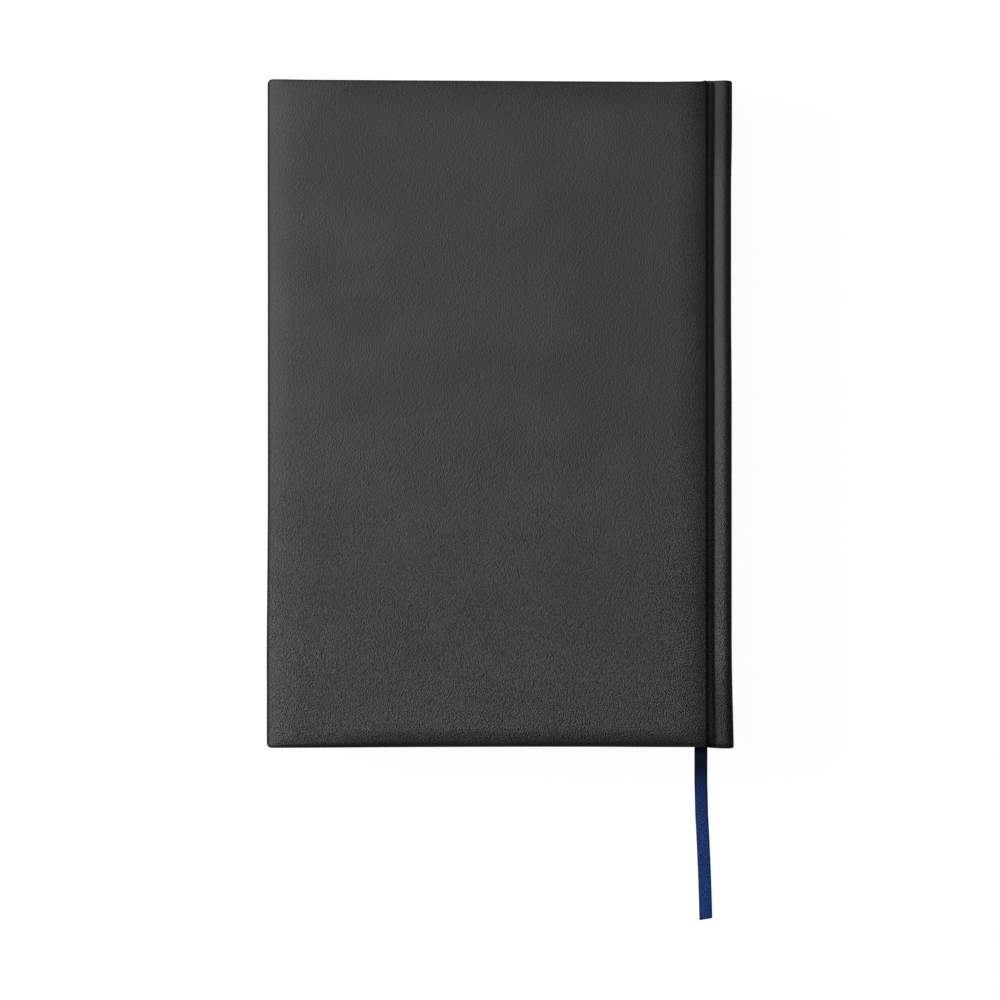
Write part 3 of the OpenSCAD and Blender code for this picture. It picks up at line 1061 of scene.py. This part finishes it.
bandFinish = bandMaterial()
makeBand("headBand", 1, "head_band")
makeBand("tailBand", -1, "tail_band")
print("bands")


# Ribbon marker: glued behind the pages, over the head band, down between two pages and out at the tail

ribbon = {
    "width": 4.3 * mm,
    "thickness": 0.22 * mm,
    "across": 12,
    "spacing": 1.0 * mm,
    "colour": (0.0048, 0.0228, 0.118),
    # the colour of the painted sheen
    "sheen": (0.07, 0.146, 0.456),
    "bookShadow": (0.0012, 0.003, 0.0096),
    "selvedge": (0.0072, 0.017, 0.066),
    "specular": 0.045,
    "pageHeight": 210 * mm,
    "restZ": 0.2 * mm,
}
# from the spine's face, the pages' head edge and mid thickness, then the turn of the width in degrees
headRoute = [
    (-3.65, -26, 0, 0), (-3.65, -14, 0, 0), (-3.65, -5, 0, 0), (-3.65, -1, 0, 0), (-3.7, 0.8, 0, 0),
    (-4, 1.6, 0, 0), (-4.5, 2.05, 0, 0), (-5.1, 2.15, 0, 5), (-5.7, 2.15, 0, 15), (-6.3, 2.1, 0, 28),
    (-6.9, 2, 0, 42), (-7.4, 1.85, 0, 56), (-7.9, 1.65, 0, 70), (-8.3, 1.4, 0, 84), (-8.7, 1.1, 0, 98),
    (-9, 0.8, 0, 110), (-9.1, 0.4, 0, 120), (-9.1, -0.5, 0, 120),
]
slotRoute = [0.45, 0.36, 0.27, 0.18, 0.09, 0, -0.09, -0.18, -0.27, -0.36, -0.45]  # shares of the page height
# from the slot, the pages' tail edge, then the share of the drop to the table that is left
tailRoute = [
    (0, 0.5, 1), (0, -1.5, 1), (0, -3.5, 0.98), (0.05, -5.5, 0.91), (0.15, -7.5, 0.78), (0.25, -9.5, 0.62),
    (0.4, -11.5, 0.46), (0.5, -13.5, 0.31), (0.6, -15.5, 0.19), (0.7, -17.5, 0.1), (0.8, -20, 0.04),
    (0.9, -23, 0.01), (1, -27, 0), (1.3, -32.5, 0), (1.6, -39, 0), (1.9, -46, 0), (2.15, -53, 0),
    (2.4, -62, 0),
]


def ribbonRoute():
    pageY = ribbon["pageHeight"] / 2
    route = [(spineX + x * mm, pageY + y * mm, midZ + z * mm, turn) for x, y, z, turn in headRoute]
    route += [(slotX, share * ribbon["pageHeight"], midZ, 120) for share in slotRoute]
    low, drop = ribbon["restZ"], midZ - ribbon["restZ"]
    route += [(slotX + x * mm, y * mm - pageY, low + left * drop, 120) for x, y, left in tailRoute]
    return route


def smoothRoute(route, spacing):
    # a smooth line through the route's points, with points no further apart than spacing
    def easeOff(leg, size, other, otherSize):
        return (leg / size * otherSize + other / otherSize * size) / (otherSize + size) * size

    line = []
    for k in range(len(route) - 1):
        p0, p1, p2, p3 = (np.array(route[min(max(k + n, 0), len(route) - 1)]) for n in (-1, 0, 1, 2))
        leg, chord = p2 - p1, np.linalg.norm((p2 - p1)[:3])
        before, after = max(np.linalg.norm((p1 - p0)[:3]), 1e-6), max(np.linalg.norm((p3 - p2)[:3]), 1e-6)
        m1 = leg if k == 0 else easeOff(leg, chord, p1 - p0, before)
        m2 = leg if k == len(route) - 2 else easeOff(leg, chord, p3 - p2, after)
        steps = max(1, math.ceil(chord / spacing))
        for n in range(steps):
            t = n / steps
            a, b = 2 * t ** 3 - 3 * t * t + 1, t ** 3 - 2 * t * t + t
            line.append(p1 * a + m1 * b + p2 * (1 - a) + m2 * (t ** 3 - t * t))
    line.append(np.array(route[-1]))
    return line


def widthWay(degrees):
    a = math.radians(degrees)
    c, s = (1 - math.cos(a)) / 3, math.sin(a) / math.sqrt(3)
    return Vector((c + s, c - s, (1 + 2 * math.cos(a)) / 3))


def ribbonMaterial():
    # satin: close warp threads with a painted sheen, a darker looped edge, and a painted shadow where it leaves
    # the book
    material, tree, shader = newMaterial("satinRibbon")
    uv = tree.nodes.new("ShaderNodeTexCoord").outputs["UV"]
    across, run = list(axes(uv))[:2]    # share of the width, and millimetres along the ribbon
    fromMiddle = mathNode("ABSOLUTE", mathNode("MULTIPLY_ADD", across, 2.0, -1.0))
    edge = rampNode(fromMiddle, 0.74, 0.86)
    loops = mathNode("SINE", mathNode("MULTIPLY", run, 2 * math.pi / 0.62))
    warp = noiseNode(scaledPoints(uv, 17.0, 2.6, 1.0), 1.0, 3, 0.65)
    weft = noiseNode(scaledPoints(uv, 5.0, 3.2, 1.0), 1.0, 2, 0.6)
    # painted sheen: a lighter speckle over the warp threads
    speck = mathNode("MULTIPLY", rampNode(warp, 0.4, 0.62), rampNode(weft, 0.36, 0.64, 0.12, 1.0))
    colour = mixColours(speck, ribbon["colour"], ribbon["sheen"])
    dotted = mathNode("MULTIPLY", edge, rampNode(loops, -0.6, 0.9, 1.0, 0.35))
    colour = mixColours(dotted, colour, ribbon["selvedge"])
    # painted shadow of the book on the ribbon where it leaves the book
    colour = mixColours(rampNode(run, 255, 267, 0.84, 0.0), colour, ribbon["bookShadow"])
    ridge = mathNode("MULTIPLY_ADD", mathNode("MULTIPLY", loops, edge), 0.6, warp)
    coat(shader, colour, rampNode(warp, 0.3, 0.7, 0.5, 0.36), ridge, 0.6, 0.00006)
    shader.inputs["Specular IOR Level"].default_value = ribbon["specular"]
    return material


def makeRibbon():
    line = smoothRoute(ribbonRoute(), ribbon["spacing"])
    count, across = len(line), ribbon["across"]
    half, thick = ribbon["width"] / 2, ribbon["thickness"] / 2
    points, uvs, run = [], [], 0.0
    for k, p in enumerate(line):
        ahead, behind = line[min(k + 1, count - 1)], line[max(k - 1, 0)]
        way = Vector((ahead - behind)[:3]).normalized()
        wide = widthWay(float(p[3]))
        up = way.cross(wide).normalized()
        if k:
            run += np.linalg.norm((p - line[k - 1])[:3])
        left = count - 1 - k
        for n in range(across + 1):
            s = 2 * n / across - 1
            slant = way * (-0.35 * mm * s) * smooth(1 - left / 2) if left < 2 else Vector((0, 0, 0))
            crown = 0.05 * mm * (1 - s * s)
            side = 1 - 0.35 * abs(s) ** 6
            centre = Vector(p[:3]) + wide * half * s + slant
            points.append(centre + up * (thick * side + crown))
            points.append(centre - up * (thick * side - crown))
            uvs.append((n / across, run / mm))
    ring = 2 * (across + 1)
    faces = []
    for k in range(count - 1):
        for n in range(across):
            a, b = k * ring + 2 * n, (k + 1) * ring + 2 * n
            faces += [(a, a + 2, b + 2, b), (a + 1, b + 1, b + 3, a + 3)]
        for n in (0, across):
            a, b = k * ring + 2 * n, (k + 1) * ring + 2 * n
            faces.append((a + 1, b + 1, b, a) if n else (a, b, b + 1, a + 1))
    for k in (0, count - 1):
        for n in range(across):
            a = k * ring + 2 * n
            faces.append((a, a + 1, a + 3, a + 2) if k == 0 else (a, a + 2, a + 3, a + 1))
    piece = newPiece("ribbon", points, faces)
    mesh = piece.data
    layer = mesh.uv_layers.new(name="weave")
    for loop in mesh.loops:
        layer.data[loop.index].uv = uvs[loop.vertex_index // 2]
    for face in mesh.polygons:
        face.use_smooth = True
    path = [tuple(float(v) for v in p[:3]) for p in line]
    dress(piece, ribbonMaterial(), "ribbon_bookmark", "book_block")


makeRibbon()


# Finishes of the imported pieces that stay

def gauzeMaterial():
    # open weave of cotton thread, filled with glue
    material, tree, shader = newMaterial("gauze")
    place = axes(objectPoints(tree))
    pitch = 2 * math.pi / (1.0 * mm)
    warp = mathNode("SINE", mathNode("MULTIPLY", mathNode("ADD", place["X"], place["Z"]), pitch))
    weft = mathNode("SINE", mathNode("MULTIPLY", place["Y"], pitch))
    thread = rampNode(mathNode("MAXIMUM", warp, weft), 0.0, 0.7)
    coat(shader, mixColours(thread, (0.42, 0.38, 0.28), (0.76, 0.74, 0.66)), 0.9, thread, 0.9, 0.00015)
    return material


def finishNode(node, material):
    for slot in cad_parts[node].material_slots:
        slot.material = material


gauzeFinish = gauzeMaterial()
finishNode("spine_board", boardFinish)
for node in ("spine_mull", "back_mull_flange", "front_mull_flange"):
    finishNode(node, gauzeFinish)
lining = fibreMaterial("kraftLining", 600.0, (0.36, 0.26, 0.16), (0.52, 0.41, 0.28), 0.85, 0.6, 0.00008)
finishNode("spine_lining", lining)
print("packed pieces")


# Table, lamps and camera

studio = {
    "cameraHeight": 1.03,           # above the top of the book
    "pixelsPerMm": 3.0884,          # at the top of the book
    "bookCentre": (499.3, 413.5),   # pixels in the 1000 frame
    "keyPlace": (-0.95, 0.19, 0.45),   # soft box low on the fore-edge's side, a little towards the head
    "keySize": 0.52,
    "keyPower": 15.5,
    "topPlace": (-0.75, 0.47, 0.98),    # wide one higher up on the same side
    "topSize": 1.0,
    "topPower": 6.5,
    "overhead": 0.042,
    "horizon": 0.58,
    "floorGlow": 0.965,
    "floorSeen": 0.084,
    "floorBounce": 0.3,
}


def makeFloor():
    size = 3.0
    points = [Vector((x * size, y * size, -0.00002)) for x in (-1, 0, 1) for y in (-1, 0, 1)]
    floor = makePiece("floor", points, gridFaces(3, 3), 40)
    upright(floor, 1)
    material, tree, shader = newMaterial("table")
    paths = tree.nodes.new("ShaderNodeLightPath").outputs
    seen = mathNode("MAXIMUM", paths["Is Glossy Ray"], paths["Is Transmission Ray"])
    seen = mathNode("MAXIMUM", paths["Is Camera Ray"], seen)
    tone = rampNode(paths["Is Camera Ray"], 0, 1, studio["floorBounce"], studio["floorSeen"])
    values = {
        "Base Color": mixColours(tone, (0.0, 0.0, 0.0), (1.0, 1.0, 1.0)),
        "Roughness": 1.0,
        "Specular IOR Level": 0.0,
        "Emission Color": (1, 1, 1),
        "Emission Strength": mathNode("MULTIPLY", seen, studio["floorGlow"]),
    }
    fill([shader.inputs[key] for key in values], values.values())
    floor.data.materials.append(material)


def makeWorld():
    world = bpy.data.worlds.new("room")
    bpy.context.scene.world = world
    world.use_nodes = True
    tree = world.node_tree
    seen = tree.nodes.new("ShaderNodeLightPath").outputs["Is Camera Ray"]
    up = axes(tree.nodes.new("ShaderNodeTexCoord").outputs["Generated"])["Z"]
    glow = rampNode(up, 0.0, 0.5, studio["horizon"], studio["overhead"])
    fill(tree.nodes["Background"].inputs, ((1, 1, 1), mathNode("MAXIMUM", seen, glow)))


def makeLamp(name, place, size, power):
    lamp = bpy.data.lights.new(name, "AREA")
    lamp.shape = "SQUARE"
    lamp.size = size
    lamp.energy = power
    holder = bpy.data.objects.new(name, lamp)
    bpy.context.scene.collection.objects.link(holder)
    holder.location = place
    holder.rotation_euler = (-Vector(place)).to_track_quat("-Z", "Y").to_euler()


def makeCamera():
    data = bpy.data.cameras.new("camera")
    camera = bpy.data.objects.new("camera", data)
    bpy.context.scene.collection.objects.link(camera)
    scale = studio["pixelsPerMm"] / mm
    px, py = studio["bookCentre"]
    camera.location = ((500 - px) / scale, (py - 500) / scale, cadBounds[1].z + studio["cameraHeight"])
    data.sensor_width = 36
    data.lens = 36 * studio["cameraHeight"] / (1000 / scale)
    data.clip_end = 20
    bpy.context.scene.camera = camera


makeFloor()
makeWorld()
makeLamp("key", studio["keyPlace"], studio["keySize"], studio["keyPower"])
makeLamp("top", studio["topPlace"], studio["topSize"], studio["topPower"])
makeCamera()
bpy.context.scene.view_settings.view_transform = "Standard"
print("studio")
